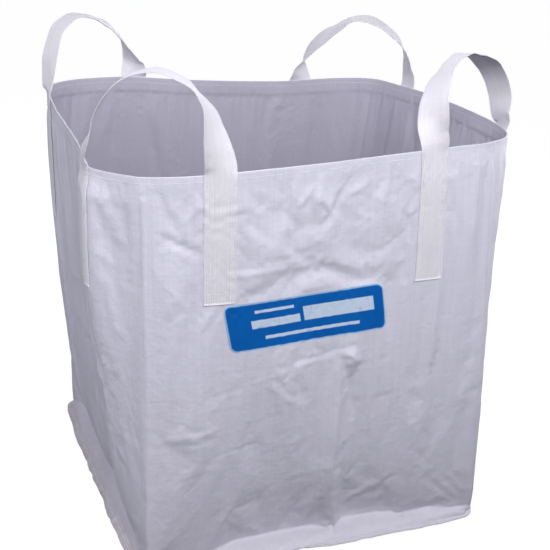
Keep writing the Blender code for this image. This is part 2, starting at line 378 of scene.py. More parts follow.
def soft_curve(points, closed, steps=24):
    """A smooth line through points, with each point's direction taken from its neighbours."""
    count = len(points)
    t = np.linspace(0, 1, steps, endpoint=False)[:, None]
    line = []
    for i in range(count if closed else count - 1):
        if closed:
            before, here, after, beyond = [points[(i + k) % count] for k in (-1, 0, 1, 2)]
        else:
            before, here, after, beyond = [points[min(max(i + k, 0), count - 1)] for k in (-1, 0, 1, 2)]
        span = np.linalg.norm(after - here)
        leave = (after - before) / (span + np.linalg.norm(here - before)) * span
        reach = (beyond - here) / (np.linalg.norm(beyond - after) + span) * span
        line.append((2 * t ** 3 - 3 * t ** 2 + 1) * here + (t ** 3 - 2 * t ** 2 + t) * leave
                    + (3 * t ** 2 - 2 * t ** 3) * after + (t ** 3 - t ** 2) * reach)
    if not closed:
        line.append(points[-1:])
    return np.concatenate(line)


def gradient_noise(x, y, period_x, seed):
    """Smooth noise from -1 to 1 with one feature per unit, repeating after period_x units of x."""
    table = np.random.RandomState(seed).uniform(0, 2 * math.pi, (period_x, NOISE_ROWS))
    xi = np.floor(x).astype(int)
    yi = np.floor(y).astype(int)
    xf = x - xi
    yf = y - yi

    def corner(dx, dy):
        angle = table[(xi + dx) % period_x, (yi + dy) % NOISE_ROWS]
        return np.cos(angle) * (xf - dx) + np.sin(angle) * (yf - dy)

    u = xf ** 3 * (xf * (xf * 6 - 15) + 10)
    v = yf ** 3 * (yf * (yf * 6 - 15) + 10)
    low = corner(0, 0) * (1 - u) + corner(1, 0) * u
    high = corner(0, 1) * (1 - u) + corner(1, 1) * u
    return 1.5 * (low * (1 - v) + high * v)


# ---------------------------------------------------------------- the tube's shape

def foot_curve():
    """The square foot of the walls, starting at the front left corner."""
    points = []
    for corner in range(4):
        middle = math.radians(225 + 90 * corner)
        cx = math.copysign(FOOT_HALF - FOOT_RADIUS, math.cos(middle))
        cy = math.copysign(FOOT_HALF - FOOT_RADIUS, math.sin(middle))
        for step in range(FOOT_STEPS + 1):
            angle = middle + math.radians(-45 + 90 * step / FOOT_STEPS)
            points.append((cx + FOOT_RADIUS * math.cos(angle), cy + FOOT_RADIUS * math.sin(angle)))
    return ClosedCurve(np.roll(np.array(points), -FOOT_STEPS // 2, axis=0))


def mouth_curve():
    """The mouth's outline: a smooth closed curve through its points, and the creases' shares."""
    points = np.array(MOUTH_POINTS)
    points[:, 2] += RIM_Z
    curve = ClosedCurve(soft_curve(points, True, MOUTH_STEPS))
    shares = [curve.shares[MOUTH_STEPS * i] for i in MOUTH_CREASES] + [1.0]
    return curve, shares


FOOT = foot_curve()
MOUTH, CREASE_SHARES = mouth_curve()


def mouth_share(girth):
    """Share of the mouth's length at a girth: whole girths sit on the pressed creases."""
    return np.interp(np.mod(girth, 4.0), range(5), CREASE_SHARES)


def panel_place(girth):
    """Distance along the girth in metres, for textures and folds."""
    return np.mod(girth, 4.0) * 2 * FOOT_HALF


def panels_from(girth, place):
    """How far a girth is past another, the short way round, in panels."""
    return np.mod(girth - place + 2, 4.0) - 2


def crease_distance(girth):
    """Distance in metres to the nearest pressed crease."""
    return np.abs(girth - np.round(girth)) * 2 * FOOT_HALF


def foot_height(girth):
    """Height of the walls' lower edge: the seam stands up a little along the left wall."""
    girth = np.mod(np.asarray(girth, float), 4.0)
    left = smooth(girth, 2.95, 3.2) * (1 - smooth(girth, 3.75, 3.98))
    uneven = 1 + 0.5 * gradient_noise(girth * 6, np.zeros_like(girth) + 7.5, 24, 71)
    return FABRIC_FLOOR + FOOT_RISE + LEFT_FOOT_RISE * left * uneven


def smooth_wall(girth, rise):
    """The unwrinkled wall: girth in panels, rise from 0 at the foot to 1 at the rim."""
    foot = FOOT.at(np.asarray(girth) / 4.0)
    mouth = MOUTH.at(mouth_share(girth))
    rise = np.asarray(rise)[..., None]
    flat = foot + (mouth[..., :2] - foot) * rise
    low = foot_height(girth)[..., None]
    z = low + (mouth[..., 2:3] - low) * rise
    return np.concatenate([flat, z], axis=-1)


def swelling(girth, up):
    """Outward shift of the wall where it stands fuller than a straight line from foot to mouth."""
    total = np.zeros_like(up)
    for centre, half_girth, z, half_z, out in SWELLINGS:
        total += out * bell(panels_from(girth, centre), 0.0, half_girth) * bell(up, z, half_z)
    return total


# ---------------------------------------------------------------- folds and wrinkles

def fold_height(along, up, fold):
    """A crease with a crisp crest, one steep side and one long side, fading out towards its ends."""
    place, z, degrees, half_length, half_width, height = fold
    dx = np.mod(along - place + GIRTH / 2, GIRTH) - GIRTH / 2
    dz = up - z
    angle = math.radians(degrees)
    lengthwise = dx * math.cos(angle) + dz * math.sin(angle)
    across = -dx * math.sin(angle) + dz * math.cos(angle)
    fade = np.exp(-(lengthwise / half_length) ** 2)
    slope = np.where(across > 0, half_width, FOLD_LONG_SIDE * half_width)
    ridge = np.exp(-(np.sqrt(across ** 2 + FOLD_SOFT ** 2) - FOLD_SOFT) / slope)
    return height * fade * ridge


def scattered_folds():
    """Folds of random place on the other three walls; most lie near level or near upright."""
    rng = np.random.RandomState(FOLD_SEED)
    made = []
    for _ in range(FOLD_COUNT):
        place = rng.uniform(2 * FOOT_HALF + 0.03, GIRTH - 0.03)
        z = 0.08 + 0.9 * rng.uniform(0, 1) ** 1.2
        lean = rng.choice([0.0, 0.0, 35.0, -35.0, 90.0])
        degrees = lean + rng.normal(0, 12)
        half_length = rng.uniform(0.04, 0.14)
        half_width = rng.uniform(0.010, 0.022)
        height = rng.choice([-1, 1]) * rng.uniform(0.0012, 0.0042)
        made.append((place, z, degrees, half_length, half_width, height))
    return made


def rim_line(girth):
    """Height of the rim before any settling, at a girth."""
    return MOUTH.at(mouth_share(girth))[..., 2]


def crease_height(girth):
    """The four pressed creases: a narrow ridge that stands a little off the wall."""
    return CREASE_RISE * np.exp(-crease_distance(girth) / CREASE_WIDTH)


def leg_girths(corner):
    """Girths of a loop's two legs, before and after its crease."""
    crease = CORNERS.index(corner)
    before, after = LEG_SHARES[corner]
    return crease - before, crease + after


def strap_cover(girth, up):
    """1 where a sewn leg holds the wall flat, 0 away from the legs."""
    away = np.full_like(girth, 9.0)
    for corner in CORNERS:
        for leg in leg_girths(corner):
            away = np.minimum(away, np.abs(panels_from(girth, leg)) * 2 * FOOT_HALF)
    across = 1 - smooth(away, 0.036, 0.062)
    return across * smooth(up, LEG_BOTTOM - 0.04, LEG_BOTTOM + 0.02)


def label_cover(girth, up):
    """1 under the label, whose film keeps the wall nearly flat."""
    along = np.abs(panel_place(girth) - FOOT_HALF - LABEL_CENTRE.x)
    over = np.abs(up - LABEL_CENTRE.z)
    inside = 1 - smooth(along, LABEL_WIDTH / 2 - 0.01, LABEL_WIDTH / 2 + 0.03)
    return inside * (1 - smooth(over, LABEL_TALL / 2 - 0.01, LABEL_TALL / 2 + 0.03))


def creased(x, y, period_x, seed):
    """Crumpled-sheet height: soft hollows that meet in sharp creases, about one hollow to a unit."""
    rng = np.random.RandomState(seed)
    place = rng.uniform(0.1, 0.9, (period_x, HOLLOW_ROWS, 2))
    steep = rng.uniform(0.6, 1.2, (period_x, HOLLOW_ROWS))
    xi = np.floor(x).astype(int)
    yi = np.floor(y).astype(int)
    nearest = np.full_like(x, 9.0)
    for dx in (-1, 0, 1):
        for dy in (-1, 0, 1):
            cell = place[(xi + dx) % period_x, (yi + dy) % HOLLOW_ROWS]
            slope = steep[(xi + dx) % period_x, (yi + dy) % HOLLOW_ROWS]
            distance = np.hypot(xi + dx + cell[..., 0] - x, yi + dy + cell[..., 1] - y)
            nearest = np.minimum(nearest, distance * slope)
    return nearest * 2 - 0.9


def crumples(girth, up):
    """Small crisp crumples, strongest under the hem, across the middle and near the base."""
    share = panel_place(girth) / GIRTH
    warp = 0.35 * gradient_noise(share * 40, up / 0.09 + 5, 40, 61)
    wide = creased(share * 34 + warp, up / 0.085 + 6 + warp, 34, 62)
    fine = creased(share * 74 - warp, up / 0.046 + 4 + warp, 74, 63)
    patches = smooth(gradient_noise(share * 11, up / 0.26 + 2, 11, 64), -0.3, 0.45)
    other = smooth(gradient_noise(share * 13, up / 0.22 + 9, 13, 65), -0.25, 0.5)
    high = bell(up, 0.93, 0.10)
    middle = bell(up, 0.48, 0.16)
    low = bell(up, 0.10, 0.12)
    strength = 0.25 + 0.75 * np.clip(0.45 * high + 0.8 * middle + 0.8 * low, 0, 1)
    return strength * (WIDE_CRUMPLE * wide * patches - FINE_CRUMPLE * fine * other)


def wrinkle(girth, up):
    """Outward shift of the wall by all its folds, at a girth and height."""
    along = panel_place(girth)
    total = np.zeros_like(up)
    for fold in FOLDS:
        total += FOLD_STRENGTH * fold_height(along, up, fold)
    for fold in scattered_folds():
        total += fold_height(along, up, fold)
    for cells, size_up, depth, seed in UNEVEN:
        total += depth * gradient_noise(along / GIRTH * cells, up / size_up + 20, cells, seed)
    total += crumples(girth, up)
    from_rim = rim_line(girth) - up
    held = np.maximum(strap_cover(girth, up), 0.65 * (1 - smooth(from_rim, 0.01, HEM_DEPTH + 0.01)))
    held = np.maximum(held, 0.8 * label_cover(girth, up))
    total *= 1 - 0.85 * held
    total *= 0.25 + 0.75 * smooth(crease_distance(girth), 0.0, 0.05)
    return total + crease_height(girth) * smooth(from_rim, HEM_DEPTH, HEM_DEPTH + 0.004)


def foot_dent(girth, up):
    """How far the wall sinks inwards just above the base seam, where the empty bag slumps."""
    share = np.mod(girth, 1.0)
    span = np.sin(math.pi * share) ** 0.8
    uneven = 1 + 0.35 * gradient_noise(girth * 3 + 0.4, np.zeros_like(girth) + 2.3, 12, 31)
    pinch = 1 - 0.6 * bell(panel_place(girth), 0.495, 0.03)
    over = up - foot_height(girth)
    below = smooth(over, 0.0, DENT_RISE)
    above = 1 - smooth(over, DENT_RISE, DENT_TOP) ** 0.7
    return DENT_DEPTH * span * uneven * pinch * np.where(over < DENT_RISE, below, above)


def wall_grid(columns, rises):
    """Points of the wall's outside, rows from its foot up to the rim."""
    girths = np.linspace(0, 4, columns, endpoint=False)
    girth, rise = np.meshgrid(girths, rises)
    points = smooth_wall(girth, rise)
    normal = outward_normals(points)
    level = level_normals(normal)
    up = points[..., 2]
    shift = wrinkle(girth, up) * smooth(up, 0.01, 0.07)
    level_shift = swelling(girth, up) * (1 - smooth(rise, 0.93, 1.0)) - foot_dent(girth, up)
    points = points + normal * shift[..., None] + level * level_shift[..., None]
    return points, girths


def level_normals(normals):
    return unit(normals * [1.0, 1.0, 0.0])


def settled(columns, rises):
    """How a slightly slack wall buckles when it settles, as a shift of each point of a coarse grid."""
    points, girths = wall_grid(columns, rises)
    rows = len(rises)
    quads, _ = grid_faces(rows, columns, True)
    slack = make_mesh("slack_wall", points.reshape(-1, 3), quads)
    girth, rise = np.meshgrid(girths, rises)
    up = points[..., 2]
    from_rim = rim_line(girth) - up
    held_rim = 1 - smooth(from_rim, HEM_DEPTH - 0.02, HEM_DEPTH + 0.03)
    held = np.maximum(held_rim, 1 - smooth(rise, 0.004, 0.02))
    held = np.maximum(held, 0.12 * (1 - smooth(crease_distance(girth), 0.0, 0.02)))
    held = np.maximum(held, 0.5 * np.maximum(strap_cover(girth, up), label_cover(girth, up))).ravel()
    group = slack.vertex_groups.new(name="held")
    for value in np.unique(np.round(held, 2)):
        if value > 0:
            chosen = np.nonzero(np.round(held, 2) == value)[0].tolist()
            group.add(chosen, float(value), "REPLACE")
    cloth = slack.modifiers.new("cloth", "CLOTH")
    for key, value in CLOTH_SETTINGS.items():
        setattr(cloth.settings, key, value)
    cloth.settings.vertex_group_mass = "held"
    cloth.settings.effector_weights.gravity = SLACK_GRAVITY
    cloth.collision_settings.use_collision = False
    scene = bpy.context.scene
    cloth.point_cache.frame_start = 1
    cloth.point_cache.frame_end = SETTLE_FRAMES
    for frame_number in range(1, SETTLE_FRAMES + 1):
        scene.frame_set(frame_number)
    evaluated = slack.evaluated_get(bpy.context.evaluated_depsgraph_get())
    flat = np.zeros(points.size, np.float32)
    evaluated.data.vertices.foreach_get("co", flat)
    scene.frame_set(1)
    bpy.data.objects.remove(slack)
    shift = flat.reshape(points.shape).astype(float) - points
    length = np.linalg.norm(shift, axis=-1, keepdims=True)
    print("settled by", length.mean() * 1000, "mm on average,", length.max() * 1000, "mm at most")
    return shift * np.minimum(1, SETTLE_LIMIT / np.maximum(length, 1e-9))


def spread_grid(coarse, rows_from, rows_to, columns_to):
    """A coarse grid of shifts read smoothly at finer rows and columns."""
    columns_from = coarse.shape[1]
    place = np.arange(columns_to) * columns_from / columns_to
    wrapped = np.concatenate([coarse[:, -2:], coarse, coarse[:, :3]], axis=1)
    finer = cubic_read(wrapped.swapaxes(0, 1), place + 2).swapaxes(0, 1)
    row = np.interp(rows_to, rows_from, np.arange(len(rows_from)))
    padded = np.concatenate([finer[:1], finer[:1], finer, finer[-1:], finer[-1:], finer[-1:]], axis=0)
    return cubic_read(padded, row + 2)


def cubic_read(values, places):
    """Values between the rows of an array, by a curve through four neighbours."""
    i = np.clip(np.floor(places).astype(int), 1, len(values) - 3)
    t = (places - i)[:, None, None]
    a, b, c, d = values[i - 1], values[i], values[i + 1], values[i + 2]
    return b + 0.5 * t * (c - a + t * (2 * a - 5 * b + 4 * c - d + t * (3 * (b - c) + d - a)))


def outward_normals(points):
    """Unit normals of a grid whose columns close round the girth."""
    around = np.roll(points, -1, axis=1) - np.roll(points, 1, axis=1)
    upward = np.gradient(points, axis=0)
    return unit(np.cross(around, upward))


class Wall:
    """The finished wall, which everything sewn to it reads."""

    def __init__(self):
        low_rises = np.linspace(0, 0.045, 14, endpoint=False)
        self.rises = np.concatenate([low_rises, np.linspace(0.045, 1.0, WALL_ROWS)])
        self.points, self.girths = wall_grid(GIRTH_STEPS, self.rises)
        low_rows = np.linspace(0, 0.04, 6, endpoint=False)
        rows = np.concatenate([low_rows, np.linspace(0.04, 1, SETTLE_ROWS)])
        shift = settled(SETTLE_COLUMNS, rows)
        self.points = self.points + spread_grid(shift, rows, self.rises, GIRTH_STEPS)
        self.normals = outward_normals(self.points)
        self.heights = self.points[..., 2]

    def sample(self, girth, up):
        """Point and normal at girth and height, for arrays of equal shape."""
        girth = np.asarray(girth, float)
        up = np.asarray(up, float)
        column = np.mod(girth, 4.0) / 4.0 * GIRTH_STEPS
        c0 = np.floor(column).astype(int) % GIRTH_STEPS
        c1 = (c0 + 1) % GIRTH_STEPS
        share = column - np.floor(column)
        rim = self.heights[-1]
        rim_here = rim[c0] * (1 - share) + rim[c1] * share
        low_here = self.heights[0][c0] * (1 - share) + self.heights[0][c1] * share
        rise = (up - low_here) / (rim_here - low_here)
        row = np.interp(rise, self.rises, np.arange(len(self.rises)))
        r0 = np.clip(np.floor(row).astype(int), 0, len(self.rises) - 2)
        lift = row - r0

        def mix(grid):
            low = grid[r0, c0] * (1 - share)[..., None] + grid[r0, c1] * share[..., None]
            high = grid[r0 + 1, c0] * (1 - share)[..., None] + grid[r0 + 1, c1] * share[..., None]
            return low * (1 - lift)[..., None] + high * lift[..., None]

        return mix(self.points), unit(mix(self.normals))

    def rim_height(self, girth):
        return np.interp(np.mod(girth, 4.0), np.append(self.girths, 4.0),
                         np.append(self.heights[-1], self.heights[-1, 0]))


# ---------------------------------------------------------------- mesh building

def grid_faces(rows, columns, closed_columns, first=0):
    """Quads of a grid of points stored row by row, and each corner's row and column."""
    last = columns if closed_columns else columns - 1
    r, c = np.meshgrid(np.arange(rows - 1), np.arange(last), indexing="ij")
    r, c = r.ravel(), c.ravel()
    c2 = (c + 1) % columns
    quads = np.stack([r * columns + c, r * columns + c2, (r + 1) * columns + c2, (r + 1) * columns + c], 1)
    uv_index = np.stack([np.stack([r, c], 1), np.stack([r, c + 1], 1),
                         np.stack([r + 1, c + 1], 1), np.stack([r + 1, c], 1)], 1)
    return quads + first, uv_index


def make_mesh(name, points, quads, uvs=None, material=None):
    """An object from arrays; uvs holds a pair for each corner of each quad."""
    mesh = bpy.data.meshes.new(name)
    mesh.from_pydata([tuple(p) for p in points], [], [tuple(int(i) for i in q) for q in quads])
    if uvs is not None:
        layer = mesh.uv_layers.new(name="metres")
        layer.data.foreach_set("uv", np.asarray(uvs, np.float32).ravel())
    mesh.shade_smooth()
    made = bpy.data.objects.new(name, mesh)
    bpy.context.scene.collection.objects.link(made)
    if material:
        mesh.materials.append(material)
    return made


def stand_for(made, node):
    """Let a piece ride on the bag in place of a CAD node, which is hidden."""
    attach(made, "bag")
    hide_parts(node)


def bag_body(wall, material, inner_shaded_material):
    """The tube as one closed sheet: seam margin, outside, rim, hem and inside."""
    columns = len(wall.girths)
    top = wall.points
    margin = seam_rows(wall)
    outside = np.concatenate([margin, top[1:]], axis=0)
    rim = top[-1]
    rim_normal = level_normals(wall.normals[-1])
    radius = CLOTH * (1 + HEM_LAYERS) / 2
    fold = []
    for step in range(1, RIM_STEPS):
        angle = math.pi * step / RIM_STEPS
        fold.append(rim - rim_normal * radius * (1 - math.cos(angle)) + up_vector(radius * math.sin(angle)))
    from_rim = rim[:, 2] - top[..., 2]
    hem = 1 - smooth(from_rim, HEM_DEPTH - 0.0005, HEM_DEPTH + 0.0015)
    thickness = CLOTH * (1 + HEM_LAYERS * hem)
    inside = (top - wall.normals * thickness[..., None])[::-1][:-1]
    low_inside = margin[::-1] - up_vector(CLOTH)
    points = np.concatenate([outside, np.array(fold), inside, low_inside], axis=0)
    lengths = row_lengths(points)
    quads, corner = grid_faces(len(points), columns, True)
    closing = closing_quads(len(points), columns)
    along = np.append(wall.girths, 4.0) * 2 * FOOT_HALF
    uvs = np.stack([along[corner[..., 1]], lengths[corner[..., 0]]], axis=-1)
    uvs = np.concatenate([uvs, np.zeros((len(closing), 4, 2))])
    made = make_mesh("bag_body", points.reshape(-1, 3), np.concatenate([quads, closing]), uvs, material)
    # the inside of the tube takes the copy of the cloth with painted shade
    made.data.materials.append(inner_shaded_material)
    first_inner = (len(outside) + len(fold) - 1) * columns
    slots = np.zeros(len(made.data.polygons), np.int32)
    slots[first_inner:len(quads)] = 1
    made.data.polygons.foreach_set("material_index", slots)
    return made


def up_vector(height):
    return np.array([0.0, 0.0, height])


def row_lengths(points):
    """Fabric length from the first row to each row, measured along one column."""
    steps = np.linalg.norm(np.diff(points.mean(axis=1) * [0, 0, 1], axis=0), axis=1)
    return np.concatenate([[0.0], np.cumsum(steps)])


def closing_quads(rows, columns):
    """Quads that join a closed sheet's last row to its first."""
    c = np.arange(columns)
    c2 = (c + 1) % columns
    last = (rows - 1) * columns
    return np.stack([last + c, last + c2, c2, c], 1)


def seam_edge(girth):
    """How far the seam's outer edge lies from the foot, and how high it curls off the floor."""
    along = panel_place(girth)
    span = np.sin(math.pi * np.mod(girth, 1.0))
    left = smooth(girth, 2.95, 3.15) * (1 - smooth(girth, 3.8, 3.98))
    reach = SEAM_MARGIN * (0.80 + 0.22 * gradient_noise(girth * 9, girth * 0 + 1.5, 36, 41))
    notches = smooth(gradient_noise(girth * 22, girth * 0 + 2.5, 88, 45), 0.15, 0.5)
    reach = reach * (1 - 0.14 * notches) + 0.002 * left
    near_right = along - 2 * FOOT_HALF
    reach = reach * (1 - 0.55 * bell(near_right, 0.0, 0.07) - 0.20 * bell(near_right, -0.15, 0.12))
    wave = gradient_noise(girth * 5, girth * 0 + 4.5, 20, 43)
    curl = 0.002 + 0.008 * span * smooth(wave, -0.2, 0.6) * (1 - left)
    curl = curl + 0.012 * bell(along, 0.30, 0.10)
    curl = curl + left * 0.004 * (0.4 + gradient_noise(girth * 20, girth * 0 + 6.5, 80, 47))
    return reach, np.maximum(curl, 0.0005)


def seam_rows(wall):
    """Rows of the seam margin, from its outer edge in to the foot of the wall."""
    foot = wall.points[0]
    outward = level_normals(wall.normals[0])
    reach, curl = seam_edge(wall.girths)
    crumple = 0.002 * gradient_noise(wall.girths * 32, wall.girths * 0 + 3.5, 128, 48)
    rows = []
    for step in range(MARGIN_ROWS + 1):
        share = 1 - step / MARGIN_ROWS
        point = foot + outward * (reach * share)[:, None]
        level = FABRIC_FLOOR + (foot[:, 2] - FABRIC_FLOOR) * (1 - share) + curl * share ** 1.6
        point[:, 2] = np.maximum(level + crumple * math.sin(math.pi * share), FABRIC_FLOOR)
        rows.append(point)
    rows[-1] = foot.copy()
    return np.array(rows)


def base_sheet(wall, material):
    """The base panel: a thin sheet on the floor whose edge follows the seam margin."""
    margin = seam_rows(wall)
    gap = CLOTH + 0.0003
    rows = [row - up_vector(gap) for row in margin]
    foot = rows[-1]
    for ring in range(1, BASE_RINGS + 1):
        share = 1 - ring / BASE_RINGS * 0.995
        row = foot * [share, share, 1]
        x, y = row[:, 0], row[:, 1]
        ripple = gradient_noise(x / 0.11 + 40, y / 0.11 + 40, 512, 51) * 0.5
        ripple += gradient_noise(x / 0.045 + 40, y / 0.045 + 40, 512, 52) * 0.2
        row[:, 2] = CLOTH + BASE_RIPPLE * (ripple + 0.6) * smooth(ring / BASE_RINGS, 0.0, 0.15)
        rows.append(row)
    top = np.array(rows)
    top[..., 2] = np.maximum(top[..., 2], CLOTH + 0.0002)
    bottom = top - up_vector(CLOTH)
    bottom[MARGIN_ROWS + 1:, :, 2] = 0.0
    sheet = np.concatenate([top[::-1], bottom], axis=0)
    quads, _ = grid_faces(len(sheet), sheet.shape[1], True)
    flat = sheet.reshape(-1, 3)
    made = make_mesh("base_panel_fabric", flat, quads, flat[quads][..., :2], material)
    cap_holes(made)
    return made


def cap_holes(made):
    work = bmesh.new()
    work.from_mesh(made.data)
    edges = [edge for edge in work.edges if edge.is_boundary]
    bmesh.ops.holes_fill(work, edges=edges, sides=0)
    bmesh.ops.recalc_face_normals(work, faces=work.faces)
    work.to_mesh(made.data)
    work.free()


# ---------------------------------------------------------------- straps

def across_places():
    """Places across a strap from -1 to 1, closer together near its two edges."""
    t = np.linspace(-1, 1, STRAP_COLUMNS)
    return np.sin(t * math.pi / 2) * 0.35 + t * 0.65


ACROSS = across_places()


def strap_half_thickness():
    """Half thickness over the width: rounded edges and shallow lengthwise ribs."""
    from_edge = (1 - np.abs(ACROSS)) * STRAP_WIDTH / 2
    round_edge = np.sqrt(np.clip(1 - (1 - np.clip(from_edge / (STRAP_THICK / 2), 0, 1)) ** 2, 0.04, 1))
    ribs = RIB_DEPTH * np.cos(ACROSS * math.pi * RIB_COUNT)
    return STRAP_THICK / 2 * round_edge + ribs * smooth(from_edge, 0.001, 0.003)


def strip(name, front, back, u, v, material):
    """A closed flat strip from the points of its two faces, with a texture place for each point."""
    rows, columns = front.shape[:2]
    ring = np.concatenate([front, back[:, ::-1]], axis=1)
    quads, corner = grid_faces(rows, 2 * columns, True)
    places = np.stack([u, v], axis=-1)
    places = np.concatenate([places, places[:, ::-1], places[:, :1]], axis=1)
    uvs = places[corner[..., 0], corner[..., 1]]
    caps = []
    for row, turn in ((0, 1), (rows - 1, -1)):
        for c in range(columns - 1):
            first = row * 2 * columns
            cap = [first + c, first + 2 * columns - 1 - c, first + 2 * columns - 2 - c, first + c + 1]
            caps.append(cap[::-turn])
    uvs = np.concatenate([uvs, np.zeros((len(caps), 4, 2))])
    return make_mesh(name, ring.reshape(-1, 3), np.concatenate([quads, np.array(caps)]), uvs, material)


def leg_rows(wall, girth, bottom, direction):
    """Middle surface and normals of a sewn leg, from its bottom row to just under the rim.

    direction is 1 where the strap's own width runs with the girth, and -1 where it runs against it.
    """
    top = wall.rim_height(girth) - 0.003
    heights = np.linspace(bottom, top, int((top - bottom) / STRAP_STEP))
    near = smooth_wall(np.array([girth - 0.01, girth + 0.01]), np.array([0.9, 0.9]))
    per_panel = np.linalg.norm(near[1] - near[0]) / 0.02
    girths = girth + direction * ACROSS * STRAP_WIDTH / 2 / per_panel
    g, z = np.meshgrid(girths, heights)
    points, normals = wall.sample(g, z)
    normals = unit(normals + normals.mean(axis=1, keepdims=True))
    return points + normals * (STRAP_THICK / 2 + RIB_DEPTH + STRAP_OFF), normals


def arch_line(start, up_start, end, up_end, shape):
    """Centre line of a free arch from one leg up over its crown and down to the other leg."""
    level = unit((end - start) * np.array([1.0, 1.0, 0.0]))
    outward = np.array([level[1], -level[0], 0.0])
    outward *= np.sign(outward @ (start + end))
    span = np.linalg.norm((end - start)[:2])
    points = [start, start + up_start * 0.02]
    for along, height in shape["line"]:
        foot = start + (end - start) * along
        points.append(foot + up_vector(height) + outward * shape["lean"] * height)
    points += [end + up_end * 0.02, end]
    line = soft_curve(np.array(points), False)
    for _ in range(3):
        line[1:-1] = (line[:-2] + 2 * line[1:-1] + line[2:]) / 4
    lengths = lengths_along(line)
    places = np.linspace(0, lengths[-1], int(lengths[-1] / STRAP_STEP))
    return read_line(places, lengths, line)


def strap_surface(wall, corner, shape):
    """Middle surface, normals and lengths of a whole lift loop with both its legs."""
    before, after = leg_girths(corner)
    first, first_n = leg_rows(wall, before, LEG_BOTTOM, 1)
    last, last_n = leg_rows(wall, after, LEG_BOTTOM, -1)
    middle_column = STRAP_COLUMNS // 2
    start = (first[-1, middle_column - 1] + first[-1, middle_column]) / 2
    end = (last[-1, middle_column - 1] + last[-1, middle_column]) / 2
    width_start = unit(first[-1, -1] - first[-1, 0])
    width_end = unit(last[-1, -1] - last[-1, 0])
    up_start = unit(first[-1, middle_column] - first[-4, middle_column])
    up_end = unit(last[-1, middle_column] - last[-4, middle_column])
    line = arch_line(start, up_start, end, up_end, shape)
    count = len(line)
    s = np.linspace(0, 1, count)
    tangent = unit(np.gradient(line, axis=0))
    first_turn = math.degrees(math.atan2(width_start[1], width_start[0]))
    last_turn = math.degrees(math.atan2(width_end[1], width_end[0]))
    whole_turn = (first_turn - last_turn) % 360
    azimuth = np.radians(first_turn - whole_turn * smooth(s, 0, 1))
    places, rolls = np.array([(0.0, 0.0)] + list(shape["rolls"]) + [(1.0, 0.0)]).T
    tilt = np.radians(soft_keys(s, places, rolls))
    width = np.stack([np.cos(azimuth), np.sin(azimuth), np.zeros(count)], axis=1)
    width = unit(width - tangent * (width * tangent).sum(axis=1, keepdims=True))
    normal = np.cross(width, tangent)
    width = width * np.cos(tilt)[:, None] + normal * np.sin(tilt)[:, None]
    normal = np.cross(width, tangent)
    arch = line[:, None] + width[:, None] * (ACROSS * STRAP_WIDTH / 2)[None, :, None]
    bow = STRAP_BOW * np.sin(math.pi * s)[:, None] * (ACROSS ** 2 - 0.33)[None, :]
    arch = arch - normal[:, None] * bow[..., None]
    fade_in = (1 - smooth(s, 0.0, 0.12))[:, None, None]
    fade_out = smooth(s, 0.88, 1.0)[:, None, None]
    arch = arch + (first[-1] - arch[0])[None] * fade_in + (last[-1] - arch[-1])[None] * fade_out
    normals = np.broadcast_to(normal[:, None], arch.shape)
    normals = unit(normals * (1 - fade_in) * (1 - fade_out) + first_n[-1] * fade_in + last_n[-1] * fade_out)
    middle = np.concatenate([first[:-1], arch, last[::-1][1:]])
    normals = np.concatenate([first_n[:-1], normals, last_n[::-1][1:]])
    return middle, normals, lengths_along(middle[:, middle_column])


def soft_keys(s, places, values):
    """Values between keys, with an even turn from each to the next."""
    k = np.clip(np.searchsorted(places, s, side="right") - 1, 0, len(places) - 2)
    t = (s - places[k]) / (places[k + 1] - places[k])
    t = 0.4 * t + 0.6 * t * t * (3 - 2 * t)
    return values[k] * (1 - t) + values[k + 1] * t


def lift_loop(wall, corner, material):
    """One length of webbing: sewn leg, free arch and second sewn leg."""
    middle, normals, along = strap_surface(wall, corner, LOOP_SHAPES[corner])
    lift = normals * strap_half_thickness()[None, :, None]
    u, v = np.meshgrid(ACROSS * STRAP_WIDTH / 2, along)
    made = strip("webbing_" + corner, middle + lift, middle - lift, u, v, material)
    crease = CORNERS.index(corner)
    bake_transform(made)
    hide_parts("lift_loop_" + corner, leg_node(corner, crease - 1), leg_node(corner, crease))


def leg_node(corner, wall_index):
    return "leg_" + corner + "_on_" + WALLS[wall_index % 4] + "_wall"


# ---------------------------------------------------------------- stitching

def stitch_template():
    """One stitch: a short tight thread whose ends dip into the cloth."""
    rings = ((-0.5, 0.45, -1.1), (-0.40, 0.9, -0.25), (-0.18, 1.0, 0.15), (0.18, 1.0, 0.15),
             (0.40, 0.9, -0.25), (0.5, 0.45, -1.1))
    sides = 6
    points = []
    for along, radius, lift in rings:
        for side in range(sides):
            angle = 2 * math.pi * side / sides
            points.append((along * STITCH_LENGTH, radius * THREAD_RADIUS * math.cos(angle),
                           THREAD_RADIUS * (radius * math.sin(angle) + lift)))
    faces = []
    for ring in range(len(rings) - 1):
        for side in range(sides):
            a = ring * sides + side
            b = ring * sides + (side + 1) % sides
            faces.append((a, a + sides, b + sides, b))
    first = list(range(sides))
    last = [(len(rings) - 1) * sides + side for side in reversed(range(sides))]
    return np.array(points), faces, [first, last]


def stitched(name, points, directions, normals, material, node):
    """A piece of many stitches, one at each point."""
    template, faces, ends = stitch_template()
    directions = unit(directions)
    sideways = unit(np.cross(normals, directions))
    upward = np.cross(directions, sideways)
    placed = (points[:, None] + directions[:, None] * template[None, :, :1]
              + sideways[:, None] * template[None, :, 1:2] + upward[:, None] * template[None, :, 2:3])
    count = len(template)
    all_faces = []
    for index in range(len(points)):
        shift = index * count
        all_faces += [tuple(i + shift for i in face) for face in faces + ends]
    made = make_mesh(name, placed.reshape(-1, 3), all_faces, None, material)
    stand_for(made, node)


